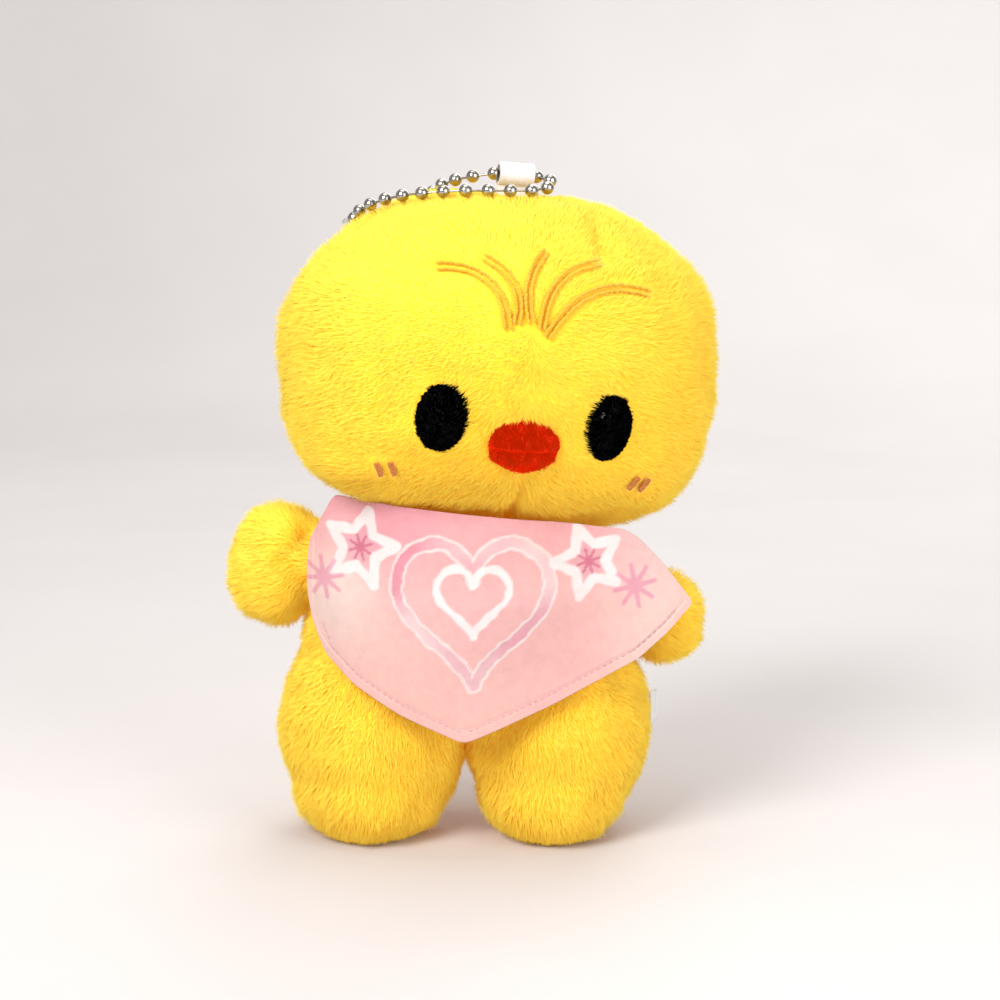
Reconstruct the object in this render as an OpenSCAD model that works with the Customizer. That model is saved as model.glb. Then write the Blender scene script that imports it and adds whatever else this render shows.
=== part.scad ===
// Stuffed plush chick pendant on a steel ball chain, standing on its two feet.
// Millimetres. +Z is up, the face looks towards -Y and +X is to the viewer's right.
// The origin lies on the surface that the feet stand on, under the middle of the bounding box.

/* [Head] */
// Width of the head over the fur
head_w = 82; // [78:1:84]
// Depth of the head over the fur
head_d = 58; // [56:1:60]
// Height of the head over the fur
head_h = 62; // [60:1:64]
// Height of the middle of the head above the floor
head_z = 89; // [89:0.5:90]
// Sideways lean of the head, to the viewer's right
head_lean = 5; // [3:1:6]
// Turn of the face, to the viewer's right
head_turn = 12; // [0:1:14]

/* [Body] */
// Width of the belly over the fur
body_w = 60; // [58:1:61]
// Depth of the belly over the fur
body_d = 44; // [42:1:46]
// Width of one leg over the fur
leg_w = 36; // [35:1:37]
// Depth of one leg over the fur
leg_d = 39; // [36:1:42]
// Thickness of the plush fabric with its pile
plush_t = 3; // [2.5:0.25:3.5]

/* [Arms] */
// Height of the raised left arm's end
left_arm_h = 24; // [22:1:25]
// Height of the lowered right arm's end
right_arm_h = 19; // [17:1:20]

/* [Bandana] */
// Thickness of the printed cloth
cloth_t = 0.8; // [0.6:0.1:1]
// Gap between the belly and the cloth
cloth_gap = 0.6; // [0.5:0.1:0.8]

/* [Ball chain] */
// Diameter of one ball
ball_d = 2.4; // [2.3:0.1:2.4]
// Distance from one ball to the next, before it is fitted to the loop
ball_pitch = 3.95; // [3.9:0.05:4]
// Width of the ribbon tab on the crown
tab_w = 6.4; // [6:0.2:7]

/* [Hidden] */
$fn = 64;
big = 300;

// Middle of the bounding box, which every node is moved back by
box_x = -0.5;
box_y = -0.4;

// Head
head_r = [head_w, head_d, head_h] / 2;
head_c = [5, 0, head_z];

// Neck: a round shoulder that the head rocks on
neck_c = [0, 0, 48];
neck_r = 15;
neck_play = 1.4;
neck_mouth_r = 8;
thread_r = 0.35;
neck_seam_z = 10;

// Belly and legs
belly_c = [-1.5, 0, 37];
belly_r = [body_w / 2, body_d / 2, 20];
leg_r = [leg_w / 2, leg_d / 2, 23];
leg_z = 20;
left_leg_x = -18;
right_leg_x = 15;
sole_t = 2;
skin_gap = 0.1;

// Arms: the round root sits in a hollow in the shoulder
left_arm_r = [9, 9, left_arm_h / 2];
right_arm_r = [7.2, 8.5, right_arm_h / 2];
left_arm_out = [37.5, 0, 50];
right_arm_out = [36.5, 0, 40.5];
left_shoulder_out = [26.5, 0, 51];
right_shoulder_out = [26.5, 0, 44.5];
arm_root_r = 5.5;
arm_play = 0.4;

// Bandana: a round skirt with a straight wing on the right, under a sloping collar
skirt_c = [-1.5, 10.4];
skirt_r = belly_r.y + cloth_gap + cloth_t + 11.4;
skirt_side_y = -8;
wing_angle = 75;
wing_l = 38;
collar_r = 24.2;
collar_top = 56;
collar_bottom = 49;
band_x = -0.8;
band_r = 14.6;
band_t = 0.9;
band_z = 54.9;
band_h = 1.2;
patch_w = 7;
patch_t = 0.4;
OUTLINE = [[-27, 56], [20, 56], [31, 56], [39.8, 46], [31, 36], [-1.3, 22.4], [-26, 35.5], [-29.5, 50]];
hem_in = 1.6;
hem_w = 0.5;

// Care label in the side seam of one leg
label_at = [33.2, 0.6, 23];
label_size = [3.4, 0.5, 5.5];
label_angle = 66;

// Eyes, beak and stitching on the face
pad_gap = 0.05;
pad_t = 0.9;
eye_r = [5, 6.6];
eye_x = 14.8;
eye_z = -8.6;
beak_r = [6.4, 4.6];
beak_z = -12.5;
beak_t = 2.2;
cheek_x = 22.5;
cheek_z = -18.6;
stitch_r = 0.5;
TUFT_ROOT = [-2, 5];
TUFT = [[-17, 17, -4], [-9, 19, -2.5], [2, 21, 2], [12, 19.5, 3.5], [21, 15, 4]];
CHEEK = [[-1.6, -1, -0.2, 1.6], [0.6, -1.6, 2, 1]];

// Ribbon tab: a folded loop that stands in a slit in the crown seam
tab_r = 2.15;
tab_t = 0.55;
tab_lift = 0.2;
tab_stem_t = 1.2;
tab_stem_l = 2;
slit_w = 2.4;
slit_l = tab_w + 0.8;

// Ball chain
ball_r = ball_d / 2;
shell_t = 0.25;
pin_r = 0.2;
pin_play = 0.1;
pin_head_r = 0.34;
pin_head_at = 0.55;
chain_swing = 45;
eye_h = tab_lift + tab_r;
// Loop of the chain: [angle to the left of the crown, angle to the back, height over the fur]
LOOP = [
    [0, 0, eye_h], [-4.6, 0, eye_h], [-7, -3.3, 2.7], [-7.6, -9.5, 2], [-4.6, -15.5, 1.6], [2, -18.5, 1.5],
    [13, -17.5, 1.5], [25, -11, 1.5], [34, 0, 1.5], [40.5, 12, 1.6], [43.5, 24, 1.8], [41.5, 34.5, 1.8],
    [34.5, 40, 1.8], [26.5, 37, 1.8], [21, 27.5, 1.6], [17, 15, 1.6], [11.5, 4.5, 1.8], [5.6, 0, eye_h]
];
STEPS = 12;
FRONT_HINGES = [6, 8, 10, 12];
BACK_HINGES = [24, 22, 20, 18];
CONNECTOR_BALL = 15;

// Connector: a channel that is open towards the head and holds the two end balls
channel_in = ball_r + 0.15;
channel_t = 0.3;
channel_skirt = 0.9;
neck_slot_r = 0.45;
kept_lip = 1.1;

// ---- Vectors ----

function unit(v) = v / norm(v);
function times(a, b) = [a.x * b.x, a.y * b.y, a.z * b.z];
function over(a, b) = [a.x / b.x, a.y / b.y, a.z / b.z];

// v turned by an angle about an axis of length 1
function turned(v, axis, angle) =
    v * cos(angle) + cross(axis, v) * sin(angle) + axis * (axis * v) * (1 - cos(angle));

// Turns +Z to the direction v
module along(v) {
    rotate([0, acos(v.z / norm(v)), atan2(v.y, v.x)]) children();
}

// Moves to a point and turns +X and +Y to two directions of length 1 that are square to each other
module oriented(at, x, y) {
    z = cross(x, y);
    multmatrix([[x.x, y.x, z.x, at.x], [x.y, y.y, z.y, at.y], [x.z, y.z, z.z, at.z], [0, 0, 0, 1]])
        children();
}

module rod(from, to, r) {
    translate(from) along(to - from) cylinder(r = r, h = norm(to - from), $fn = 24);
}

// ---- Frames and basic forms ----

module placed() {
    translate([-box_x, -box_y, 0]) children();
}

module in_head() {
    placed() translate(head_c) rotate([0, head_lean, 0]) rotate([0, 0, head_turn]) children();
}

module ellipsoid(r) {
    scale(r) sphere(r = 1, $fn = 96);
}

function shrunk(r, by) = r - [by, by, by];

// Half of space on one side of the plane y = 0: side is -1 for the front and 1 for the back
module half(side) {
    translate([-big / 2, side < 0 ? -big : 0, -big / 2]) cube([big, big, big]);
}

module above(z) {
    translate([-big / 2, -big / 2, z]) cube([big, big, big]);
}

// ---- Body ----

module figure(inset) {
    translate(belly_c) ellipsoid(shrunk(belly_r, inset));
    translate(neck_c) sphere(r = neck_r - inset);
    for (x = [left_leg_x, right_leg_x])
        translate([x, 0, leg_z]) ellipsoid(shrunk(leg_r, inset));
}

module arm_hollows(play) {
    mirror([1, 0, 0]) translate(left_shoulder_out) sphere(r = arm_root_r + play);
    translate(right_shoulder_out) sphere(r = arm_root_r + play);
}

module neck_mouth(r) {
    translate([neck_c.x, neck_c.y, neck_c.z]) cylinder(r = r, h = neck_r + 1);
}

module body_front_half() {
    difference() {
        intersection() {
            figure(0);
            above(0);
            half(-1);
        }
        intersection() {
            figure(plush_t);
            above(sole_t);
        }
        neck_mouth(neck_mouth_r);
        arm_hollows(arm_play);
    }
}

module body_front_panel() {
    color("gold") placed() body_front_half();
}

// The body is the same in front and behind
module body_back_panel() {
    color("gold") placed() mirror([0, 1, 0]) body_front_half();
}

module body_stuffing() {
    color("ivory") placed() difference() {
        union() {
            intersection() {
                figure(plush_t + skin_gap);
                above(sole_t + skin_gap);
            }
            intersection() {
                translate(neck_c) sphere(r = neck_r - skin_gap);
                neck_mouth(neck_mouth_r - skin_gap);
            }
        }
        arm_hollows(arm_play + 0.4);
    }
}

module care_label() {
    color("white") placed() translate(label_at) rotate([0, 0, label_angle])
        translate([0, -label_size.y / 2, -label_size.z / 2]) cube(label_size);
}

// Ring of thread that joins the head to the neck
module neck_stitching() {
    ring_r = sqrt(pow(neck_r + neck_play / 2, 2) - pow(neck_seam_z, 2));
    color("goldenrod") placed() translate(neck_c + [0, 0, neck_seam_z])
        rotate_extrude() translate([ring_r, 0]) circle(r = thread_r, $fn = 24);
}

// ---- Arms ----

// Arm that points to +X from its shoulder
module arm_cover(shoulder, end_c, end_r) {
    difference() {
        union() {
            translate(shoulder) sphere(r = arm_root_r);
            translate(end_c) ellipsoid(end_r);
        }
        translate(end_c) ellipsoid(shrunk(end_r, plush_t));
    }
}

module arm_stuffing(end_c, end_r) {
    translate(end_c) ellipsoid(shrunk(end_r, plush_t + skin_gap));
}

module left_arm_cover() {
    color("gold") placed() mirror([1, 0, 0]) arm_cover(left_shoulder_out, left_arm_out, left_arm_r);
}

module left_arm_stuffing() {
    color("ivory") placed() mirror([1, 0, 0]) arm_stuffing(left_arm_out, left_arm_r);
}

module right_arm_cover() {
    color("gold") placed() arm_cover(right_shoulder_out, right_arm_out, right_arm_r);
}

module right_arm_stuffing() {
    color("ivory") placed() arm_stuffing(right_arm_out, right_arm_r);
}

// ---- Bandana ----

module outline_prism() {
    rotate([90, 0, 0]) linear_extrude(big, center = true) polygon(OUTLINE);
}

// Vertical cloth between two distances inside and outside the skirt's own radius
module skirt(inner, outer) {
    start = [skirt_c.x + skirt_r * cos(wing_angle), skirt_c.y - skirt_r * sin(wing_angle)];
    linear_extrude(collar_top) {
        difference() {
            translate(skirt_c) circle(r = skirt_r + outer);
            translate(skirt_c) circle(r = skirt_r + inner);
            translate([-big / 2, skirt_side_y]) square(big);
            translate(start) rotate(90 - wing_angle) translate([0, -big / 2]) square(big);
        }
        translate(start) rotate(90 - wing_angle) translate([0, -outer]) square([wing_l, outer - inner]);
    }
}

// Sloping cloth from the neck down to the skirt, round both sides
module collar(bottom_r, bottom_z) {
    slope = [bottom_r - collar_r, bottom_z - collar_top];
    across = [-slope.y, slope.x] / norm(slope) * cloth_t;
    top = [collar_r, collar_top];
    translate([skirt_c.x, skirt_c.y, 0]) rotate_extrude()
        polygon([top, top + slope, top + slope + across, top + across]);
}

module bandana() {
    color("mistyrose") placed() union() {
        intersection() {
            skirt(-cloth_t, 0);
            outline_prism();
        }
        intersection() {
            collar(skirt_r - cloth_t, collar_bottom);
            translate([-big / 2, skirt_side_y - big, 0]) cube(big);
            translate([-26, -big / 2, 0]) cube([46, big, big]);
        }
    }
}

// A row of stitches a little inside each lower edge of the bandana
module bandana_hem_stitching() {
    color("pink") placed() for (i = [3:5]) {
        a = OUTLINE[i];
        b = OUTLINE[i + 1];
        run = unit(b - a);
        in = [-run.y, run.x] * -1;
        ends = [a + run * 3, b - run * 3];
        intersection() {
            skirt(pad_gap, 0.4);
            rotate([90, 0, 0]) linear_extrude(big, center = true) polygon([
                ends[0] + in * hem_in, ends[1] + in * hem_in,
                ends[1] + in * (hem_in + hem_w), ends[0] + in * (hem_in + hem_w)
            ]);
        }
    }
}

// Ring of cloth round the back of the neck, between two distances from its axis
module neck_ring(inner_r, outer_r, from, to) {
    translate([band_x, 0, 0]) rotate_extrude() translate([inner_r, from]) square([outer_r - inner_r, to - from]);
}

// The bandana's two tails, folded round the back of the neck
module bandana_neck_band() {
    color("mistyrose") placed() intersection() {
        neck_ring(band_r, band_r + band_t, band_z, band_z + band_h);
        translate([-big / 2, skirt_side_y, 0]) cube(big);
    }
}

// Hook-and-loop patch where the tails overlap
module bandana_closure_patch() {
    outer = band_r + band_t;
    color("dimgray") placed() intersection() {
        neck_ring(outer + pad_gap, outer + pad_gap + patch_t, band_z + 0.3, band_z + band_h - 0.3);
        translate([band_x - patch_w / 2, 0, 0]) cube([patch_w, big, big]);
    }
}

// ---- Head ----

module neck_hollow() {
    placed() translate(neck_c) sphere(r = neck_r + neck_play);
}

module tab_slit() {
    translate([-slit_l / 2, -slit_w / 2, head_r.z - tab_stem_l - 0.5]) cube([slit_l, slit_w, 10]);
}

module head_panel(side) {
    color("gold") difference() {
        in_head() difference() {
            intersection() {
                ellipsoid(head_r);
                half(side);
            }
            ellipsoid(shrunk(head_r, plush_t));
            tab_slit();
        }
        neck_hollow();
    }
}

module head_front_panel() head_panel(-1);
module head_back_panel() head_panel(1);

module head_stuffing() {
    color("ivory") difference() {
        in_head() ellipsoid(shrunk(head_r, plush_t + skin_gap));
        neck_hollow();
    }
}

// Layer of thread over the face, from just over the fur to a height over it
module face_layer(height) {
    difference() {
        ellipsoid(shrunk(head_r, -height));
        ellipsoid(shrunk(head_r, -pad_gap));
    }
}

// Embroidered oval at a place on the face, seen from the front
module oval(x, z, r, height) {
    in_head() intersection() {
        face_layer(height);
        translate([x, 0, z]) rotate([90, 0, 0]) linear_extrude(head_d) scale(r) circle(r = 1);
    }
}

module left_eye() {
    color("black") oval(-eye_x, eye_z, eye_r, pad_t);
}

module right_eye() {
    color("black") oval(eye_x, eye_z, eye_r, pad_t);
}

module beak() {
    color("orangered") oval(0, beak_z, beak_r, beak_t);
}

// Point on the face at a height over the fur
function on_face(x, z, height) = let (
    y = -head_r.y * sqrt(1 - pow(x / head_r.x, 2) - pow(z / head_r.z, 2)),
    p = [x, y, z]
) p + height * unit(over(p, times(head_r, head_r)));

// Round thread of one radius through a list of points, with closed ends
module thread(points, r) {
    sides = 8;
    n = len(points);
    function heading(i) = unit(points[min(i + 1, n - 1)] - points[max(i - 1, 0)]);
    rings = [for (i = [0:n - 1]) let (
        h = heading(i),
        u = unit(cross(h, [0.13, 1, 0.2])),
        v = cross(h, u)
    ) for (k = [0:sides - 1]) points[i] + r * (cos(360 * k / sides) * u + sin(360 * k / sides) * v)];
    faces = concat(
        [[for (k = [sides - 1:-1:0]) k]],
        [for (i = [0:n - 2], k = [0:sides - 1]) let (j = (k + 1) % sides)
            [i * sides + k, i * sides + j, (i + 1) * sides + j, (i + 1) * sides + k]],
        [[for (k = [0:sides - 1]) (n - 1) * sides + k]]
    );
    polyhedron(rings, faces);
}

// Stroke from one place on the face to another, bowed sideways
function stroke(a, b, bow) = let (
    across = [-(b - a).y, (b - a).x] / norm(b - a)
) [for (t = [0:0.1:1]) let (q = a + (b - a) * t + across * bow * 4 * t * (1 - t))
    on_face(q[0], q[1], stitch_r + pad_gap)];

// Plain fan of five feather strokes on the forehead
module forehead_stitching() {
    color("darkorange") in_head() for (s = TUFT) {
        tip = [s[0], s[1]];
        run = unit(tip - TUFT_ROOT);
        thread(stroke(TUFT_ROOT + run * 4, tip, s[2]), stitch_r);
    }
}

module cheek_stitches(side) {
    color("chocolate") in_head() for (s = CHEEK)
        thread(stroke([side * (cheek_x + s[0]), cheek_z + s[1]], [side * (cheek_x + s[2]), cheek_z + s[3]], 0),
            stitch_r * 0.8);
}

module left_cheek_stitches() cheek_stitches(-1);
module right_cheek_stitches() cheek_stitches(1);

// Mouth line across the beak
module beak_stitching() {
    color("firebrick") in_head()
        thread([for (x = [-5:1:5]) on_face(x, beak_z - 0.4 - 0.01 * x * x, beak_t + stitch_r * 0.5 + pad_gap)],
            stitch_r * 0.5);
}

// ---- Ribbon tab ----

module ribbon_tab() {
    color("white") in_head() translate([-tab_w / 2, 0, head_r.z]) rotate([0, 90, 0]) difference() {
        union() {
            translate([-eye_h, 0, 0]) cylinder(r = tab_r, h = tab_w);
            translate([-eye_h, -tab_stem_t / 2, 0]) cube([eye_h + tab_stem_l, tab_stem_t, tab_w]);
        }
        translate([-eye_h, 0, -1]) cylinder(r = tab_r - tab_t, h = tab_w + 2);
    }
}

// ---- Ball chain ----

function on_head(left, back, height) = let (
    n = [-sin(left) * cos(back), sin(back), cos(left) * cos(back)]
) times(head_r, n) + height * unit(over(n, head_r));

// Smooth closed curve through the control points, a share t of the way from point i to the next
function smooth(p, i, t) = let (
    n = len(p), a = p[(i + n - 1) % n], b = p[i], c = p[(i + 1) % n], d = p[(i + 2) % n]
) (2 * b + (c - a) * t + (2 * a - 5 * b + 4 * c - d) * t * t + (3 * b - a - 3 * c + d) * t * t * t) / 2;

ROUTE = [for (i = [0:len(LOOP) - 1], k = [0:STEPS - 1]) let (q = smooth(LOOP, i, k / STEPS))
    on_head(q[0], q[1], q[2])];
ROUTE_N = len(ROUTE);
RUN = [for (i = 0, s = 0; i <= ROUTE_N; s = s + norm(ROUTE[(i + 1) % ROUTE_N] - ROUTE[i % ROUTE_N]), i = i + 1) s];
TABLES = [for (axis = [0:2]) [for (i = [0:ROUTE_N]) [RUN[i], ROUTE[i % ROUTE_N][axis]]]];
BALL_N = round(RUN[ROUTE_N] / ball_pitch);
BALLS = [for (i = [0:BALL_N - 1]) let (s = i * RUN[ROUTE_N] / BALL_N)
    [for (axis = [0:2]) lookup(s, TABLES[axis])]];
HINGE_AXES = [for (k = [0:3]) unit(BALLS[BACK_HINGES[k]] - BALLS[FRONT_HINGES[k]])];

function ball(i) = BALLS[(i + BALL_N) % BALL_N];

// Slot that the next link swings through at a ball on a hinge line
module swing_slot(i, next, axis) {
    middle = turned(unit(ball(next) - ball(i)), axis, chain_swing / 2);
    across = unit(cross(axis, middle));
    slot_w = 2 * (ball_r * sin(chain_swing / 2) + pin_r + pin_play);
    oriented([0, 0, 0], middle, across) translate([0, -slot_w / 2, -pin_r - pin_play])
        cube([ball_r * 1.5, slot_w, 2 * (pin_r + pin_play)]);
}

// Opening of a ball towards a neighbour: a slot on a hinge line, and none between the two balls in the connector
module ball_opening(i, next) {
    at = (i + BALL_N) % BALL_N;
    front = search(at, FRONT_HINGES);
    back = search(at, BACK_HINGES);
    in_connector = i == CONNECTOR_BALL && next > i || i == CONNECTOR_BALL + 1 && next < i;
    if (len(front) > 0 && next > i)
        swing_slot(i, next, HINGE_AXES[front[0]]);
    else if (len(back) > 0 && next < i)
        swing_slot(i, next, HINGE_AXES[back[0]]);
    else if (!in_connector)
        rod([0, 0, 0], unit(ball(next) - ball(i)) * ball_r * 1.5, pin_r + pin_play);
}

// Hollow ball with an opening towards each neighbour
module chain_ball(i) {
    translate(ball(i)) difference() {
        sphere(r = ball_r, $fn = 32);
        sphere(r = ball_r - shell_t, $fn = 32);
        ball_opening(i, i - 1);
        ball_opening(i, i + 1);
    }
}

// Dumb-bell pin from ball i to the next
module chain_link(i) {
    gap = ball(i + 1) - ball(i);
    pin_l = norm(gap) - 2 * pin_head_at;
    translate(ball(i) + unit(gap) * pin_head_at) along(gap) {
        cylinder(r = pin_r, h = pin_l, $fn = 24);
        sphere(r = pin_head_r, $fn = 24);
        translate([0, 0, pin_l]) sphere(r = pin_head_r, $fn = 24);
    }
}

module balls(from, to) {
    color("silver") in_head() for (i = [from:to]) chain_ball(i);
}

module links(from, to) {
    in_head() for (i = [from:to])
        if (i != CONNECTOR_BALL)
            color("gainsboro") chain_link(i);
}

module chain_start_balls() balls(BACK_HINGES[0] - BALL_N, FRONT_HINGES[0]);
module chain_start_links() links(BACK_HINGES[0] - BALL_N, FRONT_HINGES[0] - 1);

// Balls and links of one stretch on both strands, between hinge line k and the next
module stretch_balls(k) {
    balls(FRONT_HINGES[k] + 1, FRONT_HINGES[k + 1]);
    balls(BACK_HINGES[k + 1], BACK_HINGES[k] - 1);
}

module stretch_links(k) {
    links(FRONT_HINGES[k], FRONT_HINGES[k + 1] - 1);
    links(BACK_HINGES[k + 1], BACK_HINGES[k] - 1);
}

module chain_1_balls() stretch_balls(0);
module chain_1_links() stretch_links(0);
module chain_2_balls() stretch_balls(1);
module chain_2_links() stretch_links(1);
module chain_3_balls() stretch_balls(2);
module chain_3_links() stretch_links(2);
module chain_4_balls() balls(FRONT_HINGES[3] + 1, BACK_HINGES[3] - 1);
module chain_4_links() links(FRONT_HINGES[3], BACK_HINGES[3] - 1);

// Channel from the kept ball to the free ball, open towards the head, with a slot for the chain at each end
module chain_connector() {
    kept = ball(CONNECTOR_BALL);
    free = ball(CONNECTOR_BALL + 1);
    run = unit(free - kept);
    side = unit(cross(over(kept, times(head_r, head_r)), run));
    reach = norm(free - kept);
    end = channel_in + channel_t;
    neck_in = ball(CONNECTOR_BALL - 1) - kept;
    neck_out = ball(CONNECTOR_BALL + 2) - free;
    in_y = -end * (neck_in * side) / (neck_in * run);
    out_y = end * (neck_out * side) / (neck_out * run);
    color("gainsboro") in_head() oriented(kept, run, side) difference() {
        translate([-end, -end, -channel_skirt]) cube([reach + 2 * end, 2 * end, channel_skirt + end]);
        translate([-channel_in, -channel_in, -channel_skirt - 1])
            cube([reach + 2 * channel_in, 2 * channel_in, channel_skirt + 1 + channel_in]);
        translate([-end - 1, in_y - neck_slot_r, -channel_skirt - 1])
            cube([1 + end - kept_lip, 2 * neck_slot_r, 2 + end + channel_skirt]);
        translate([reach + 1, out_y - neck_slot_r, -channel_skirt - 1])
            cube([end, 2 * neck_slot_r, 1 + channel_skirt + neck_slot_r]);
    }
}

body_front_panel();
body_back_panel();
body_stuffing();
care_label();
bandana();
bandana_hem_stitching();
bandana_neck_band();
bandana_closure_patch();
neck_stitching();
head_front_panel();
head_back_panel();
head_stuffing();
left_eye();
right_eye();
beak();
beak_stitching();
left_cheek_stitches();
right_cheek_stitches();
forehead_stitching();
ribbon_tab();
left_arm_cover();
left_arm_stuffing();
right_arm_cover();
right_arm_stuffing();
chain_start_balls();
chain_start_links();
chain_1_balls();
chain_1_links();
chain_2_balls();
chain_2_links();
chain_3_balls();
chain_3_links();
chain_4_balls();
chain_4_links();
chain_connector();
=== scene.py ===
# Stuffed plush chick pendant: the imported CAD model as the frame, with its soft pieces made here.
import bpy
import bmesh
import math
import numpy as np
from mathutils import Matrix, Vector
from mathutils.bvhtree import BVHTree


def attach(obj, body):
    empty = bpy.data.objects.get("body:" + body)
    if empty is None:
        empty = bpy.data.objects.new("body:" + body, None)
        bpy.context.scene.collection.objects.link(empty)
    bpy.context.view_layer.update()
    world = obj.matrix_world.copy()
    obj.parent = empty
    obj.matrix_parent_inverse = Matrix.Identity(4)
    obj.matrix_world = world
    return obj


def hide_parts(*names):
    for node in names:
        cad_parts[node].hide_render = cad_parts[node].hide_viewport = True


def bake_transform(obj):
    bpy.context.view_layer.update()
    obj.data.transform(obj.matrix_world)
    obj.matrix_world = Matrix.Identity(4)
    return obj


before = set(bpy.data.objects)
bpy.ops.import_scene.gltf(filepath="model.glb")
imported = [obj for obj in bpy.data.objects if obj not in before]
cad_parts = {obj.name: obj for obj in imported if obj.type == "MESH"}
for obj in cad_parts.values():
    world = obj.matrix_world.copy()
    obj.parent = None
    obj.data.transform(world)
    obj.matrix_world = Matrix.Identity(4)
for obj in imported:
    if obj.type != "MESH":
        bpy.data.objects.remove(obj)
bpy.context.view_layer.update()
MM = 0.001
scene = bpy.context.scene

# ---- Camera ----

TARGET = Vector((5.6, 0, 62.5)) * MM
ELEVATION = math.radians(9)
LENS, VIEW_W = 90, 185 * MM

camera = bpy.data.objects.new("camera", bpy.data.cameras.new("camera"))
scene.collection.objects.link(camera)
camera.data.lens = LENS
camera.data.sensor_width = 36
view_back = Vector((0, -math.cos(ELEVATION), math.sin(ELEVATION)))
camera.location = TARGET + view_back * (VIEW_W * LENS / 36)
camera.rotation_euler = (-view_back).to_track_quat("-Z", "Y").to_euler()
camera.data.clip_start = 0.01
camera.data.clip_end = 50
scene.camera = camera


# ---- Materials ----

def nodes_of(name):
    mat = bpy.data.materials.new(name)
    mat.use_nodes = True
    tree = mat.node_tree
    return mat, tree, tree.nodes["Principled BSDF"]


def node(tree, kind, inputs=None, **props):
    n = tree.nodes.new("ShaderNode" + kind)
    for k, v in props.items():
        setattr(n, k, v)
    for k, v in (inputs or {}).items():
        if isinstance(v, bpy.types.NodeSocket):
            tree.links.new(v, n.inputs[k])
        else:
            n.inputs[k].default_value = v
    return n


def ramp(tree, fac, stops):
    n = node(tree, "ValToRGB", {"Fac": fac})
    while len(n.color_ramp.elements) < len(stops):
        n.color_ramp.elements.new(0.5)
    for e, (at, colour) in zip(n.color_ramp.elements, stops):
        e.position = at
        e.color = (*colour, 1)
    return n.outputs["Color"]


def noise_of(tree, coords, scale, detail=3, rough=0.6):
    return node(tree, "TexNoise", {"Vector": coords, "Scale": scale, "Detail": detail,
                                   "Roughness": rough}).outputs["Fac"]


def ribs_of(tree, coords, scale, distortion, way):
    return node(tree, "TexWave", {"Vector": coords, "Scale": scale, "Distortion": distortion},
                bands_direction=way).outputs["Fac"]


def bump_of(tree, height, strength, distance):
    return node(tree, "Bump", {"Height": height, "Strength": strength, "Distance": distance}).outputs["Normal"]


def mix(tree, fac, a, b, blend="MIX"):
    n = node(tree, "Mix", data_type="RGBA", blend_type=blend)
    for key, value in (("Factor", fac), ("A", a), ("B", b)):
        socket = [s for s in n.inputs if s.name == key and s.type == ("VALUE" if key == "Factor" else "RGBA")][0]
        if isinstance(value, bpy.types.NodeSocket):
            tree.links.new(value, socket)
        else:
            socket.default_value = value if key == "Factor" else (*value, 1)
    return [s for s in n.outputs if s.type == "RGBA"][0]


def coords_of(tree):
    return node(tree, "TexCoord").outputs["Object"]


def pile_material(name, root, tip, sheen=0.35, rough=0.75, painted_glow=(0, 0, 0)):
    """Fibres: a root and a tip colour along each strand, a tone of its own and a slow change over the surface. A
    root darker than its tip is painted shade deep in the pile.
    The emitted glow is painted light that brightens the pile and warms its shade, standing for the light that
    comes through the pile from fibre to fibre."""
    mat, tree, bsdf = nodes_of(name)
    at = node(tree, "Attribute", attribute_name="strand")
    parts = node(tree, "SeparateColor", {"Color": at.outputs["Color"]})
    slow = noise_of(tree, coords_of(tree), 90, 3)
    colour = mix(tree, parts.outputs["Red"], root, tip)
    tone = node(tree, "MapRange", {"Value": parts.outputs["Green"], "To Min": 0.88, "To Max": 1.05})
    slow_tone = node(tree, "MapRange", {"Value": slow, "From Min": 0.3, "From Max": 0.7,
                                        "To Min": 0.95, "To Max": 1.03})
    both = node(tree, "Math", {0: tone.outputs[0], 1: slow_tone.outputs[0]}, operation="MULTIPLY")
    grey = node(tree, "CombineColor", {"Red": both.outputs[0], "Green": both.outputs[0], "Blue": both.outputs[0]})
    tree.links.new(mix(tree, 1.0, colour, grey.outputs[0], "MULTIPLY"), bsdf.inputs["Base Color"])
    bsdf.inputs["Emission Color"].default_value = (*painted_glow, 1)
    bsdf.inputs["Emission Strength"].default_value = 1 if any(painted_glow) else 0
    bsdf.inputs["Roughness"].default_value = rough
    bsdf.inputs["Specular IOR Level"].default_value = 0.2
    bsdf.inputs["Sheen Weight"].default_value = sheen
    bsdf.inputs["Sheen Tint"].default_value = (*tip, 1)
    bsdf.inputs["Sheen Roughness"].default_value = 0.4
    return mat


def backing_material(name, dark, light, scale=900, sheen=0.3):
    """Woven or pressed fibres under the pile, and thread."""
    mat, tree, bsdf = nodes_of(name)
    co = coords_of(tree)
    fine = noise_of(tree, co, scale, 4, 0.7)
    broad = noise_of(tree, co, scale / 12, 2)
    both = node(tree, "Math", {0: fine, 1: broad}, operation="MULTIPLY_ADD")
    both.inputs[2].default_value = 0.25
    tree.links.new(ramp(tree, both.outputs[0], [(0.35, dark), (0.7, light)]), bsdf.inputs["Base Color"])
    tree.links.new(bump_of(tree, fine, 0.6, 0.25 * MM), bsdf.inputs["Normal"])
    bsdf.inputs["Roughness"].default_value = 0.85
    bsdf.inputs["Specular IOR Level"].default_value = 0.2
    bsdf.inputs["Sheen Weight"].default_value = sheen
    return mat


# Painted shade: the pile's root colour is darker and more orange than its tip.
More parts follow.
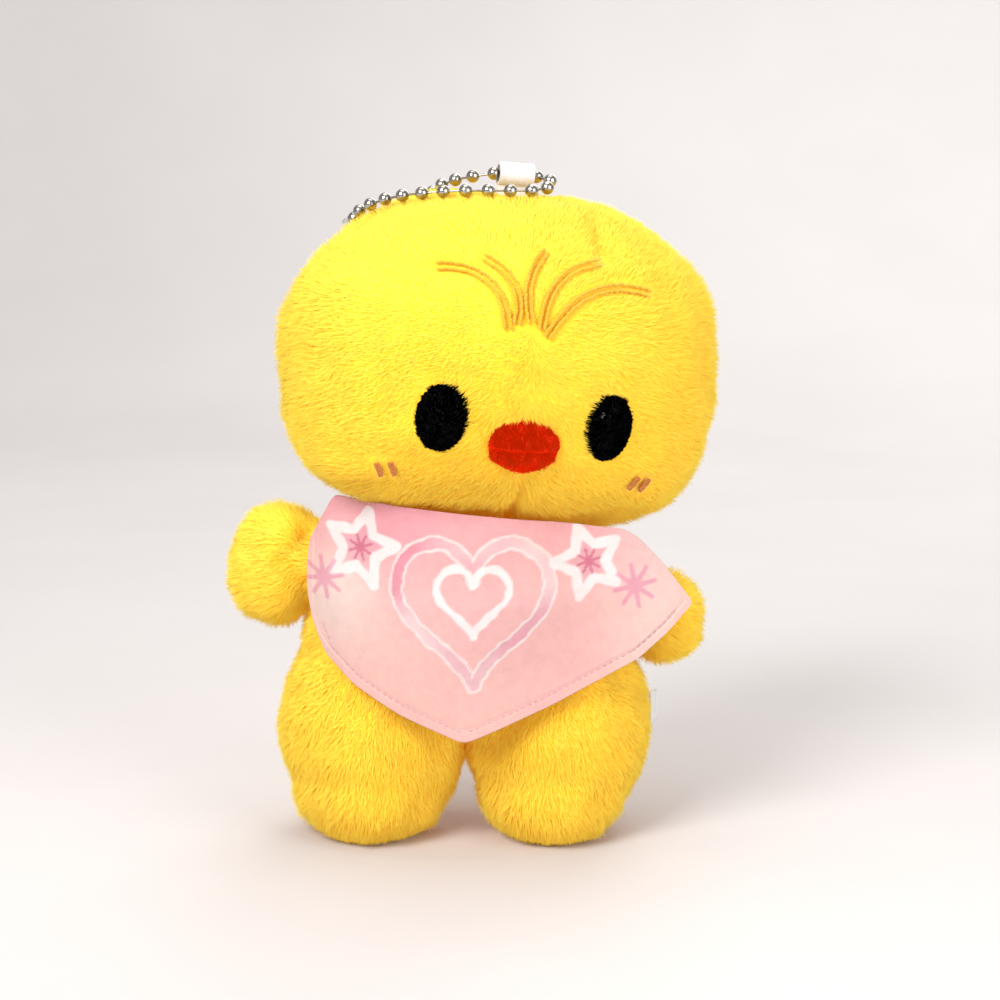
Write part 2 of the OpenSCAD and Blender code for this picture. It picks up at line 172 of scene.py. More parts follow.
SHADED_YELLOW_ROOT, YELLOW_TIP = (1.0, 0.62, 0.03), (1.0, 0.9, 0.11)
MAT = {
    # Painted light: the yellow pile's orange glow brightens it and warms its shade.
    "pile": pile_material("yellow_pile", SHADED_YELLOW_ROOT, YELLOW_TIP, painted_glow=(0.2, 0.04, 0.0)),
    "backing": backing_material("yellow_backing", (0.95, 0.5, 0.015), (1.0, 0.7, 0.04)),
    "black_pile": pile_material("black_pile", (0.002, 0.002, 0.002), (0.005, 0.005, 0.006), 0.0, 0.7),
    # Painted highlight: the white pile is a glowing catch-light on the right eye.
    "painted_highlight_pile": pile_material("painted_highlight_pile", (0.6, 0.6, 0.62), (1.0, 1.0, 1.0), 0.2, 0.5, (0.3, 0.3, 0.3)),
    "black_backing": backing_material("black_backing", (0.002, 0.002, 0.003), (0.008, 0.008, 0.01), sheen=0),
    # Painted light: the beak's red pile glows to look brighter, and its darker root is painted shade.
    "red_pile": pile_material("red_pile", (0.85, 0.04, 0.008), (1.0, 0.16, 0.04), 0.1, 0.7, (0.45, 0.014, 0.0)),
    "red_backing": backing_material("red_backing", (0.6, 0.02, 0.004), (0.85, 0.06, 0.012), sheen=0),
    "brown_thread": backing_material("brown_thread", (0.36, 0.1, 0.012), (0.62, 0.22, 0.03), 1500),
    "orange_thread": backing_material("orange_thread", (0.58, 0.31, 0.008), (0.78, 0.48, 0.02), 1500),
    "yellow_thread": backing_material("yellow_thread", (0.6, 0.34, 0.02), (0.85, 0.56, 0.05), 1500),
    "filling": backing_material("fibre_filling", (0.7, 0.69, 0.65), (0.9, 0.89, 0.86), 400),
    "hooks": backing_material("hook_and_loop", (0.008, 0.008, 0.01), (0.05, 0.05, 0.055), 2500),
}


def dress(obj, mat):
    obj.data.materials.clear()
    obj.data.materials.append(mat)
    return obj


# ---- Mesh helpers ----

def add_object(name, verts, faces, mat):
    mesh = bpy.data.meshes.new(name)
    mesh.from_pydata([tuple(v) for v in verts], [], [tuple(int(i) for i in f) for f in faces])
    mesh.update()
    obj = bpy.data.objects.new(name, mesh)
    scene.collection.objects.link(obj)
    mesh.polygons.foreach_set("use_smooth", [True] * len(mesh.polygons))
    mesh.materials.append(mat)
    return obj


def sheet_faces(rows, columns):
    """Faces of a two-sided sheet: a grid of points, the same grid behind it, and the rim between them."""
    n = rows * columns
    index = np.arange(n).reshape(rows, columns)
    a, b, c, d = index[:-1, :-1].ravel(), index[1:, :-1].ravel(), index[1:, 1:].ravel(), index[:-1, 1:].ravel()
    rim = [*index[:, 0], *index[-1, 1:], *index[-2::-1, -1], *index[0, -2:0:-1]]
    return [*zip(a, b, c, d), *zip(d + n, c + n, b + n, a + n),
            *((j, i, i + n, j + n) for i, j in zip(rim, rim[1:] + rim[:1]))]


def ball_points(level):
    """Unit sphere of even triangles."""
    bm = bmesh.new()
    bmesh.ops.create_icosphere(bm, subdivisions=level, radius=1)
    verts = np.array([v.co for v in bm.verts], float)
    faces = [[v.index for v in f.verts] for f in bm.faces]
    bm.free()
    return verts, faces


def apply_modifiers(obj):
    dg = bpy.context.evaluated_depsgraph_get()
    mesh = bpy.data.meshes.new_from_object(obj.evaluated_get(dg))
    old = obj.data
    obj.modifiers.clear()
    obj.data = mesh
    bpy.data.meshes.remove(old)
    mesh.polygons.foreach_set("use_smooth", [True] * len(mesh.polygons))


def unit(v):
    return v / np.maximum(np.linalg.norm(v, axis=-1, keepdims=True), 1e-12)


def bell(x, middle, width):
    return np.exp(-((x - middle) / width) ** 2)


def step(x, a, b):
    t = np.clip((x - a) / (b - a), 0, 1)
    return t * t * (3 - 2 * t)


def waves(p, size, seed, octaves=3):
    """Slow seeded noise between about -1 and 1 from sums of tilted sine waves, for points in metres."""
    rng = np.random.default_rng(seed)
    total = np.zeros(len(p))
    for octave in range(octaves):
        for _ in range(4):
            direction = unit(rng.normal(size=3)) * 2 * math.pi / (size / 1.9 ** octave)
            total += np.sin(p @ direction + rng.uniform(0, 6.28)) * 0.6 ** octave * 0.42
    return total


# ---- Head form, in the head's own frame: x to the viewer's right, the face towards -y ----

HEAD_M = (Matrix.Translation(Vector((5.5, 0.3, 89)) * MM) @ Matrix.Rotation(math.radians(5), 4, "Y")
          @ Matrix.Rotation(math.radians(12), 4, "Z"))
HEAD_R = np.array((39.3, 28.2, 30)) * MM


def to_row(points):
    m = np.array(HEAD_M)
    return points @ m[:3, :3].T + m[:3, 3]


def head_points(d):
    """Puts unit vectors on the stuffed head: a squarish outline, flatter at the chin, with darts and dents."""
    outline = 2.12 + 0.25 * bell(d[:, 2], 0, 0.4) + 0.95 * step(-d[:, 2], 0.0, 0.6)
    q = np.abs(d / HEAD_R)
    flat = (q[:, 0] ** outline + q[:, 2] ** outline) ** (2.25 / outline)
    r = (flat + q[:, 1] ** 2.25) ** (-1 / 2.25)
    p = d * r[:, None]
    mm = p / MM
    front = step(-d[:, 1], 0.0, 0.35)
    dent = 1.1 * bell(mm[:, 0], 1.5, 1.3) * front * step(-mm[:, 2], 17, 24)
    dent += 1.2 * bell(mm[:, 0] - 12.5 - 0.024 * (mm[:, 2] - 26) ** 2, 0, 2.2) * front * step(mm[:, 2], 17, 24)
    dent += 0.7 * bell(mm[:, 1], 0, 1.3)
    dent += 2.0 * np.exp(-(mm[:, 0] ** 2 + mm[:, 1] ** 2) / 40) * step(mm[:, 2], 0, 5)
    dent -= 0.45 * waves(p, 0.03, 3)
    p = p - unit(d) * (dent * MM)[:, None]
    low = step(-d[:, 2], 0.15, 0.7) * step(-d[:, 1], -0.9, 0.2)
    tilt = np.clip(-p[:, 0], -0.03, 0.018) * 0.065 * (1 - 0.75 * step(-p[:, 0], 0.02, 0.034))
    p[:, 2] += (1.0 * MM * (1 - 0.6 * step(-p[:, 0], 0.02, 0.034)) + tilt) * low
    return p


verts, faces = ball_points(7)
head = add_object("head_cover", to_row(head_points(verts)), faces, MAT["backing"])
head_tree = BVHTree.FromObject(head, bpy.context.evaluated_depsgraph_get())


def on_face(x, z, height=0.0):
    """Point and normal on the head at a place seen from its own front, in millimetres."""
    origin = HEAD_M @ (Vector((x, -80, z)) * MM)
    heading = (HEAD_M.to_3x3() @ Vector((0, 1, 0))).normalized()
    at, normal, _, _ = head_tree.ray_cast(origin, heading)
    if at is None:
        at, normal, _, _ = head_tree.find_nearest(HEAD_M @ (Vector((x, -20, z)) * MM))
    return at + normal * height * MM, normal


# ---- Body and arms ----

def blob(name, lobes, voxel, rounds, mat):
    """One closed skin round several ellipsoids, each (middle, radii) in millimetres, with its creases softened."""
    sphere, tris = ball_points(5)
    points = np.concatenate([sphere * np.array(r) + np.array(c) for c, r in lobes]) * MM
    joined = [[i + k * len(sphere) for i in f] for k in range(len(lobes)) for f in tris]
    obj = add_object(name, points, joined, mat)
    remesh = obj.modifiers.new("skin", "REMESH")
    remesh.mode = "VOXEL"
    remesh.voxel_size = voxel * MM
    smooth = obj.modifiers.new("soften", "SMOOTH")
    smooth.factor = 0.5
    smooth.iterations = rounds
    apply_modifiers(obj)
    return obj


def reshape(obj, move):
    co = np.empty(len(obj.data.vertices) * 3)
    obj.data.vertices.foreach_get("co", co)
    no = np.empty_like(co)
    obj.data.vertex_normals.foreach_get("vector", no)
    co, no = co.reshape(-1, 3), no.reshape(-1, 3)
    obj.data.vertices.foreach_set("co", move(co, no).ravel())
    obj.data.update()


def shape_body(p, n):
    mm = p / MM
    dent = 0.6 * bell(mm[:, 1], 0, 1.2) * step(np.abs(n[:, 0]), 0.3, 0.7) - 0.45 * waves(p, 0.026, 11)
    p = p - n * (dent * MM)[:, None]
    sole = 0.5 * MM
    low = p[:, 2] < 2.2 * MM
    p[low, 2] = sole + (p[low, 2] - sole) * 0.25
    p[:, 2] = np.maximum(p[:, 2], 0.25 * MM)
    return p


BODY_LOBES = [((-1, 0.3, 37), (29.3, 21.2, 19)), ((0.5, 0.3, 50), (15, 13.8, 13.6)),
              ((-17.7, 0.3, 20.6), (17.1, 18.9, 20.6)), ((15.8, 0.3, 20.6), (17, 18.9, 20.6)),
              ((-18.6, -0.4, 10), (14, 17.6, 12)), ((15.2, -0.4, 10), (13.4, 17.6, 12))]
body = blob("body_cover", BODY_LOBES, 1.0, 8, MAT["backing"])
reshape(body, shape_body)


def shape_arm(seed):
    return lambda p, n: p + n * (0.5 * MM * waves(p, 0.014, seed))[:, None]


left_arm = blob("left_arm_cover_soft", [((-35.5, 0.3, 50.6), (8.1, 8, 10.4)), ((-28.5, 0.3, 50), (7, 6.5, 7.5))],
                0.8, 8, MAT["backing"])
right_arm = blob("right_arm_cover_soft", [((35.9, 0.3, 41), (6.5, 7, 7.8)), ((30, 0.3, 43.5), (5.5, 5.5, 6))],
                 0.8, 8, MAT["backing"])
reshape(left_arm, shape_arm(21))
reshape(right_arm, shape_arm(22))


# ---- Bandana ----

TOP_EDGE = [(-29.6, 52), (-29.2, 56.5), (-24.5, 65), (-10, 63.5), (12, 61), (28, 59.5),
            (31, 57.5), (35, 53.2), (40.2, 46.4)]
LOW_EDGE = [(-29.6, 49), (-28.8, 43), (-26.2, 36.8), (-21, 32.2), (-12, 27.2), (-0.8, 22.4),
            (15, 28.9), (30.5, 36.4), (36, 41.2), (40.2, 45.8)]
SKIRT_X, SKIRT_Y, SKIRT_R = -1.0, 10.8, 34.9
WING_FROM = 6.4
CLOTH_T = 0.35
HEM_IN = 1.75
WRONG_SIDE = (0.6, 0.4, 0.38)
INK_STRENGTH = 0.6
COLUMNS, ROWS = 260, 150


def cloth_y(x, z):
    """How far forward the cloth hangs, in millimetres: round the belly, straight out over the right arm,
    and in towards the neck at the top."""
    arc = SKIRT_Y - np.sqrt(np.maximum(SKIRT_R ** 2 - (np.minimum(x, WING_FROM) - SKIRT_X) ** 2, 0))
    y = arc + np.maximum(x - WING_FROM, 0) * 0.27
    y = y + 7.5 * step(z, 46, 63) * (1 - 0.55 * step(np.abs(x), 14, 34))
    y = y - 0.5 * step(-z, -36, -22)
    folds = 0.5 * np.sin((x + 3) * 0.33 + (z - 50) * 0.12) * step(z, 30, 56) * step(np.abs(x), 2, 16)
    return y + folds + 0.35 * np.sin(x * 0.16 - z * 0.21 + 1.0)


def bandana_points():
    s = 0.5 - 0.5 * np.cos(np.linspace(0, math.pi, COLUMNS))
    x = -29.55 + 69.7 * (0.65 * s + 0.35 * np.linspace(0, 1, COLUMNS))
    top = np.interp(x, *zip(*TOP_EDGE))
    low = np.interp(x, *zip(*LOW_EDGE))
    for edge in (top, low):
        for _ in range(14):
            edge[1:-1] = (edge[:-2] + 2 * edge[1:-1] + edge[2:]) / 4
    v = np.linspace(0, 1, ROWS)
    z = low[:, None] + (top - low)[:, None] * v[None]
    xx = np.repeat(x[:, None], ROWS, 1)
    edge_in = np.minimum((z - low[:, None]) * 0.85, np.minimum(xx - x[0], x[-1] - xx) + 0.3)
    return xx, z, edge_in


def near(x, z, curve):
    """Distance from each place to a list of points, in millimetres."""
    best = np.full(x.shape, 1e9)
    for cx, cz in curve:
        best = np.minimum(best, (x - cx) ** 2 + (z - cz) ** 2)
    return np.sqrt(best)


def heart_curve(cx, cz, size):
    t = np.linspace(0, 2 * math.pi, 260)
    return list(zip(cx + size * 16 * np.sin(t) ** 3,
                    cz + size * (13 * np.cos(t) - 5 * np.cos(2 * t) - 2 * np.cos(3 * t) - np.cos(4 * t))))


def star_curve(cx, cz, size, turn):
    points = []
    for k in range(10):
        r0, r1 = (size, size * 0.48) if k % 2 == 0 else (size * 0.48, size)
        a0, a1 = turn + k * math.pi / 5, turn + (k + 1) * math.pi / 5
        for t in np.linspace(0, 1, 24, endpoint=False):
            points.append((cx + (1 - t) * r0 * math.cos(a0) + t * r1 * math.cos(a1),
                           cz + (1 - t) * r0 * math.sin(a0) + t * r1 * math.sin(a1)))
    return points


def rays(x, z, cx, cz, reach, count, turn, width):
    """Share of ink of a plain asterisk."""
    dx, dz = x - cx, z - cz
    r = np.hypot(dx, dz)
    angle = np.arctan2(dz, dx) - turn
    off = np.abs(np.sin(angle * count / 2)) * r * 2 / count
    return (1 - step(off, width * 0.5, width)) * (1 - step(r, reach * 0.85, reach))


def print_with_painted_highlight(x, z):
    """Colour of the printed cloth at each place, with painted highlight: paler patches where light falls on the
    middle left and on the right wing. The cloth also turns darker and more mauve towards the top.
    """
    def paint(colour, ink, share):
        share = np.clip(share, 0, 1)[..., None]
        return colour * (1 - share) + np.array(ink) * share
    p = np.stack([x.ravel(), np.zeros(x.size), z.ravel()], 1) * MM
    soft = waves(p, 0.03, 31).reshape(x.shape)
    rough = waves(p, 0.004, 32, 2).reshape(x.shape)
    colour = np.ones(x.shape + (3,)) * np.array((0.98, 0.56, 0.50))
    colour = paint(colour, (0.88, 0.36, 0.42), step(z, 42, 63) * 0.8 + 0.12 * soft)
    # Painted highlight: paler patches where light falls on the middle left and on the right wing.
    colour = paint(colour, (0.98, 0.76, 0.68), bell(x, -24, 9) * bell(z, 47, 9) * 0.9 + bell(x, 34, 8) * 0.6)
    inside = near(x, z, heart_curve(0.8, 47.6, 0.45))
    colour = paint(colour, (0.90, 0.47, 0.50), np.exp(-(inside / 9) ** 2) * 0.35)
    d = near(x, z, heart_curve(0.8, 47.2, 0.86)) + 0.18 * rough
    colour = paint(colour, (0.96, 0.9, 0.88), (1 - step(d, 1.15, 1.45)) * 0.75)
    colour = paint(colour, (0.83, 0.24, 0.33), (1 - step(d, 0.75, 1.0)) * (0.55 + 0.2 * soft))
    d = near(x, z, heart_curve(0.8, 48.6, 0.4)) + 0.15 * rough
    colour = paint(colour, (0.97, 0.92, 0.91), (1 - step(d, 0.5, 0.85)) * 0.9)
    for cx, cz, size, turn in ((-19.5, 56.2, 6.6, 1.35), (21.5, 54.0, 6.2, 1.9)):
        d = near(x, z, star_curve(cx, cz, size, turn)) + 0.12 * rough
        r = np.hypot(x - cx, z - cz)
        colour = paint(colour, (0.72, 0.32, 0.44), (1 - step(r, size * 0.35, size * 0.7)) * 0.4)
        colour = paint(colour, (0.97, 0.92, 0.91), (1 - step(d, 0.7, 1.05)) * 0.85)
        colour = paint(colour, (0.62, 0.08, 0.2), rays(x, z, cx, cz, 2.5, 8, 0.3, 0.28) * 0.7)
    for cx, cz, reach in ((-26.2, 50.6, 4.2), (29.8, 49.6, 4.4)):
        colour = paint(colour, (0.82, 0.25, 0.42), rays(x, z, cx, cz, reach, 8, 0.2, 0.5) * 0.6)
    return colour * INK_STRENGTH


def cloth_material(name, plain=None):
    """Fine plain weave with the print and its painted highlight, or one colour, under it."""
    mat, tree, bsdf = nodes_of(name)
    co = coords_of(tree)
    if plain:
        colour = ramp(tree, noise_of(tree, co, 300), [(0.3, plain[0]), (0.7, plain[1])])
    else:
        colour = node(tree, "Attribute", attribute_name="print_and_highlight").outputs["Color"]
    across, along = (ribs_of(tree, co, 950, 0.6, way) for way in "XZ")
    weave = node(tree, "Math", {0: across, 1: along}, operation="MULTIPLY").outputs[0]
    slub = noise_of(tree, co, 500, 4)
    height = node(tree, "Math", {0: weave, 1: slub}, operation="ADD").outputs[0]
    tinted = mix(tree, 1.0, colour, ramp(tree, slub, [(0.3, (0.93, 0.92, 0.92)), (0.6, (1, 1, 1))]), "MULTIPLY")
    tree.links.new(tinted, bsdf.inputs["Base Color"])
    tree.links.new(bump_of(tree, height, 0.35, 0.06 * MM), bsdf.inputs["Normal"])
    bsdf.inputs["Roughness"].default_value = 0.62
    bsdf.inputs["Specular IOR Level"].default_value = 0.3
    bsdf.inputs["Sheen Weight"].default_value = 0.25
    bsdf.inputs["Sheen Roughness"].default_value = 0.35
    return mat


MAT["print_and_highlight"] = cloth_material("printed_cloth")
MAT["pink_cloth"] = cloth_material("pink_cloth", ((0.52, 0.23, 0.27), (0.58, 0.31, 0.33)))
MAT["pink_thread"] = backing_material("pink_thread", (0.5, 0.24, 0.27), (0.62, 0.36, 0.38), 1500)


def make_bandana():
    x, z, edge_in = bandana_points()
    hem = 0.22 * (1 - step(edge_in, 1.3, 1.9)) - 0.12 * bell(edge_in, HEM_IN, 0.25)
    y = cloth_y(x, z) - hem
    front = np.stack([x, y, z], -1).reshape(-1, 3) * MM
    back = front + np.array((0, CLOTH_T * MM, 0))
    obj = add_object("bandana_cloth", np.concatenate([front, back]), sheet_faces(COLUMNS, ROWS), MAT["print_and_highlight"])
    colour = print_with_painted_highlight(x, z).reshape(-1, 3)
    both = np.concatenate([colour, colour * 0.25 + np.array(WRONG_SIDE) * 0.75])
    layer = obj.data.color_attributes.new("print_and_highlight", "FLOAT_COLOR", "POINT")
    layer.data.foreach_set("color", np.concatenate([both, np.ones((len(both), 1))], 1).ravel())
    return obj


bandana = make_bandana()

BAND_TURNS = np.radians(np.linspace(-38, 218, 170))
BAND_Z = np.linspace(51.6, 57.4, 14)


def make_neck_band():
    """The bandana's two tails, folded round the back of the neck over the shoulders."""
    rise = (BAND_Z - BAND_Z[0]) / (BAND_Z[-1] - BAND_Z[0])
    turn, v = np.meshgrid(BAND_TURNS, rise, indexing="ij")
    flare = 1 + 0.16 * step(np.abs(turn - math.pi / 2), 1.6, 2.23)
    crease = 0.25 * np.sin(turn * 7 + v * 2) + 0.18 * np.sin(turn * 17 - v * 3)
    hem = 0.25 * (bell(v, 0.08, 0.06) + bell(v, 0.92, 0.06))
    overlap = 0.55 * step(turn, math.pi / 2 - 0.3, math.pi / 2 - 0.26)
    rx = (19.9 - 5.2 * v) * flare + crease + hem + overlap
    ry = (15.4 - 2.0 * v) * flare + crease + hem + overlap
    z = BAND_Z[0] + v * (BAND_Z[-1] - BAND_Z[0]) + 0.3 * np.sin(turn * 3)
    outer = np.stack([0.3 + rx * np.cos(turn), 0.3 + ry * np.sin(turn), z], -1)
    inner = np.stack([0.3 + (rx - 0.5) * np.cos(turn), 0.3 + (ry - 0.5) * np.sin(turn), z], -1)
    return add_object("neck_band_cloth", np.concatenate([outer.reshape(-1, 3), inner.reshape(-1, 3)]) * MM,
                      sheet_faces(*z.shape), MAT["pink_cloth"])


neck_band = make_neck_band()

# ---- Pile ----

def surface(obj):
    """Corner indices, places and normals of a mesh's triangles."""
    mesh = obj.data
    mesh.calc_loop_triangles()
    tri = np.empty(len(mesh.loop_triangles) * 3, int)
    mesh.loop_triangles.foreach_get("vertices", tri)
    co = np.empty(len(mesh.vertices) * 3)
    mesh.vertices.foreach_get("co", co)
    no = np.empty(len(mesh.vertices) * 3)
    mesh.vertex_normals.foreach_get("vector", no)
    return tri.reshape(-1, 3), co.reshape(-1, 3), no.reshape(-1, 3)


def scatter(obj, count, rng, share=None):
    """Seeded places spread evenly over a surface, where share gives the part of them kept."""
    tri, co, no = surface(obj)
    corners = co[tri]
    area = np.linalg.norm(np.cross(corners[:, 1] - corners[:, 0], corners[:, 2] - corners[:, 0]), axis=1)
    if share is not None:
        area = area * share(corners.mean(1), unit(no[tri].mean(1)))
    pick = rng.choice(len(tri), count, p=area / area.sum())
    u, v = rng.random(count), rng.random(count)
    over = u + v > 1
    u[over], v[over] = 1 - u[over], 1 - v[over]
    w = np.stack([1 - u - v, u, v], 1)[..., None]
    return (co[tri[pick]] * w).sum(1), unit((no[tri[pick]] * w).sum(1))


def pile(name, base, count, seed, length, comb, lean, mat, share=None, blocks=(),
         width=0.09, clump=0.008, stray=0.2):
    """Tapered fibres standing in a base: each leans from its surface's normal towards the combed way.
    Fibres that would run into one of the blocks are cut short of it."""
    rng = np.random.default_rng(seed)
    p, n = scatter(base, count, rng, share)
    way = comb(p, n)
    way = unit(way - n * (way * n).sum(1, keepdims=True))
    side = np.cross(n, way)
    swirl = waves(p, clump, seed + 1, 2)[:, None] * 0.32 + rng.normal(size=(count, 1)) * stray
    way = unit(way + side * swirl)
    angle = lean(p, n) + waves(p, clump * 0.7, seed + 2, 2) * 0.16 + rng.normal(size=count) * 0.14
    out = unit(n * np.cos(angle)[:, None] + way * np.sin(angle)[:, None])
    reach = length(p, n) * MM * rng.uniform(0.7, 1.12, count)
    for block in blocks:
        for i in range(count):
            hit = block.ray_cast(Vector(p[i] - n[i] * 0.0004), Vector(out[i]), reach[i] + 0.0012)
            if hit[0] is not None:
                reach[i] = max(hit[3] * 0.8 - 0.0004, 0.0002)
    u = unit(np.cross(out, n + 1e-4))
    v = np.cross(out, u)
    turn = rng.uniform(0, 2 * math.pi, count)
    thick = width * MM * rng.uniform(0.75, 1.2, count)
    ring = []
    for k in range(3):
        a = turn + k * 2 * math.pi / 3
        radial = u * np.cos(a)[:, None] + v * np.sin(a)[:, None]
        ring.append((p - n * 0.15 * MM + radial * thick[:, None], unit(n * 1.1 + radial * 0.45)))
    tip = p + out * reach[:, None]
    co = np.stack([ring[0][0], ring[1][0], ring[2][0], tip], 1).reshape(-1, 3)
    normals = np.stack([ring[0][1], ring[1][1], ring[2][1], unit(n * 1.1 + out * 0.3)], 1).reshape(-1, 3)
    first = np.arange(count) * 4
    tris = np.stack([first, first + 1, first + 3, first + 1, first + 2, first + 3, first + 2, first, first + 3], 1)
    mesh = bpy.data.meshes.new(name)
    mesh.vertices.add(len(co))
    mesh.vertices.foreach_set("co", co.ravel())
    mesh.loops.add(count * 9)
    mesh.loops.foreach_set("vertex_index", tris.ravel())
    mesh.polygons.add(count * 3)
    mesh.polygons.foreach_set("loop_start", np.arange(count * 3) * 3)
    mesh.update()
    mesh.validate()
    mesh.polygons.foreach_set("use_smooth", [True] * len(mesh.polygons))
    mesh.normals_split_custom_set_from_vertices(normals.tolist())
    tone = np.clip(0.5 + rng.normal(size=count) * 0.22, 0, 1)
    colour = np.zeros((count, 4, 4))
    colour[:, 3, 0] = 1
    colour[:, :, 1] = tone[:, None]
    colour[:, :, 3] = 1
    layer = mesh.color_attributes.new("strand", "FLOAT_COLOR", "POINT")
    layer.data.foreach_set("color", colour.ravel())
    mesh.materials.append(mat)
    obj = bpy.data.objects.new(name, mesh)
    scene.collection.objects.link(obj)
    return obj


def tree_of(obj):
    return BVHTree.FromObject(obj, bpy.context.evaluated_depsgraph_get())


def constant(value):
    return lambda p, n: np.full(len(p), float(value))


HEAD_INV = np.array(HEAD_M.inverted())


def in_head(p):
    """Places in the head's own frame, in millimetres."""
    return (p @ HEAD_INV[:3, :3].T + HEAD_INV[:3, 3]) / MM


def from_head(v):
    return v @ np.array(HEAD_M)[:3, :3].T


# Face marks, in the head's own frame: middle and half sizes of each
EYE_R = (4.3, 5.9)
LEFT_EYE, RIGHT_EYE, BEAK = (-14.8, -8.5), (14.8, -8.5), (0, -12.5)
BEAK_R = (6.1, 4.3)
TUFT_ROOT = (-2.0, 5.0)
TUFT = [((-17, 17), -4), ((-9, 19), -2.5), ((2, 21), 2), ((12, 19.5), 3.5), ((21, 15), 4)]
CHEEKS = [((side * 20.9, -19.8), (side * 22.3, -17.2)) for side in (-1, 1)]
CHEEKS += [((side * 23.1, -20.2), (side * 24.5, -17.6)) for side in (-1, 1)]


def oval_share(q, middle, r):
    """1 on an oval's edge, less inside it."""
    return np.hypot((q[:, 0] - middle[0]) / r[0], (q[:, 2] - middle[1]) / r[1])


def stroke(start, end, bow, count=24):
    a, b = np.array(start, float), np.array(end, float)
    t = np.linspace(0, 1, count)[:, None]
    across = np.array((-(b - a)[1], (b - a)[0])) / np.linalg.norm(b - a)
    return a + (b - a) * t + across * bow * 4 * t * (1 - t)


def tuft_strokes():
    for tip, bow in TUFT:
        root, end = np.array(TUFT_ROOT), np.array(tip, float)
        yield stroke(root + (end - root) / np.linalg.norm(end - root) * 4, end, bow)


STROKES = list(tuft_strokes()) + [stroke(a, b, 0, 8) for a, b in CHEEKS]


def marks_gap(p):
    """How far each place on the front of the head is outside the embroidered marks: below 0 inside them."""
    q = in_head(p)
    gap = (oval_share(q, LEFT_EYE, EYE_R) - 1) * 5
    gap = np.minimum(gap, (oval_share(q, RIGHT_EYE, EYE_R) - 1) * 5)
    gap = np.minimum(gap, (oval_share(q, BEAK, BEAK_R) - 1) * 5)
    for line in STROKES:
        gap = np.minimum(gap, near(q[:, 0], q[:, 2], line) - 0.9)
    return np.where(q[:, 1] < 0, gap, 9)


def head_comb(p, n):
    q = in_head(p)
    out = np.tanh(q[:, 0] / 7) * 24
    up = step(q[:, 2], 0, 22)
    return from_head(np.stack([out * (1 - 0.5 * up), 10 * up, 14 * up - 7 * (1 - up)], 1))


def head_length(p, n):
    q = in_head(p)
    reach = 1.7 + 0.7 * step(np.abs(q[:, 0]), 24, 38) + 0.5 * step(-q[:, 2], 16, 27)
    reach = reach - 0.7 * step(q[:, 2], 26, 30) * step(-np.hypot(q[:, 0], q[:, 1]), -12, -5)
    return np.clip(np.minimum(reach, 0.55 + marks_gap(p) * 1.3), 0.3, None)


def front_of_head(p, n):
    return (in_head(p)[:, 1] < 0) * (marks_gap(p) > 0)


def back_of_head(p, n):
    return (in_head(p)[:, 1] >= 0) * 1.0


def head_lean(p, n):
    return 0.95 - 0.25 * step(np.abs(in_head(p)[:, 0]), 30, 40)


bandana_tree, left_arm_tree, right_arm_tree = tree_of(bandana), tree_of(left_arm), tree_of(right_arm)
band_tree = tree_of(neck_band)
head_front_pile = pile("head_front_pile", head, 62000, 101, head_length, head_comb, head_lean, MAT["pile"],
                       front_of_head, [bandana_tree])
head_back_pile = pile("head_back_pile", head, 44000, 102, head_length, head_comb, head_lean, MAT["pile"],
                      back_of_head)


def body_comb(p, n):
    return np.stack([p[:, 0] * 6, p[:, 1] * 2, np.full(len(p), -0.5)], 1)


def body_length(p, n):
    tuft = 0.5 * np.clip(waves(p, 0.005, 61, 2), 0, 1)
    return 2.1 + (0.7 + tuft) * step(-p[:, 2] / MM, -14, -3) - 0.4 * step(p[:, 2] / MM, 45, 55)


def standing(side):
    return lambda p, n: ((p[:, 1] * side) >= 0.0003 * side) * np.where(p[:, 2] < 0.0012, 0.1, 1.0)


def body_lean(p, n):
    return 0.85 + 0.3 * step(-n[:, 2], 0.5, 0.9)


floor_bm = bmesh.new()
bmesh.ops.create_grid(floor_bm, x_segments=1, y_segments=1, size=0.2)
floor_tree = BVHTree.FromBMesh(floor_bm)
floor_bm.free()
body_front_pile = pile("body_front_pile", body, 56000, 103, body_length, body_comb, body_lean, MAT["pile"],
                       standing(-1),
                       [bandana_tree, band_tree, head_tree, left_arm_tree, right_arm_tree, floor_tree])
body_back_pile = pile("body_back_pile", body, 42000, 104, body_length, body_comb, body_lean, MAT["pile"],
                      standing(1), [band_tree, head_tree, left_arm_tree, right_arm_tree, floor_tree])


def arm_comb(side):
    return lambda p, n: np.stack([np.full(len(p), side * 1.0), p[:, 1] * 10, (p[:, 2] - 0.045) * 25 - 0.25], 1)


body_tree = tree_of(body)
left_arm_pile = pile("left_arm_pile", left_arm, 17000, 105, constant(2.6), arm_comb(-1), constant(0.75),
                     MAT["pile"], None, [bandana_tree, head_tree, body_tree])
right_arm_pile = pile("right_arm_pile", right_arm, 12000, 106, constant(2.5), arm_comb(1), constant(0.75),
                      MAT["pile"], None, [bandana_tree, head_tree, body_tree])


# ---- Eyes, beak and stitching ----

PAD_RINGS, PAD_SPOKES = 22, 110


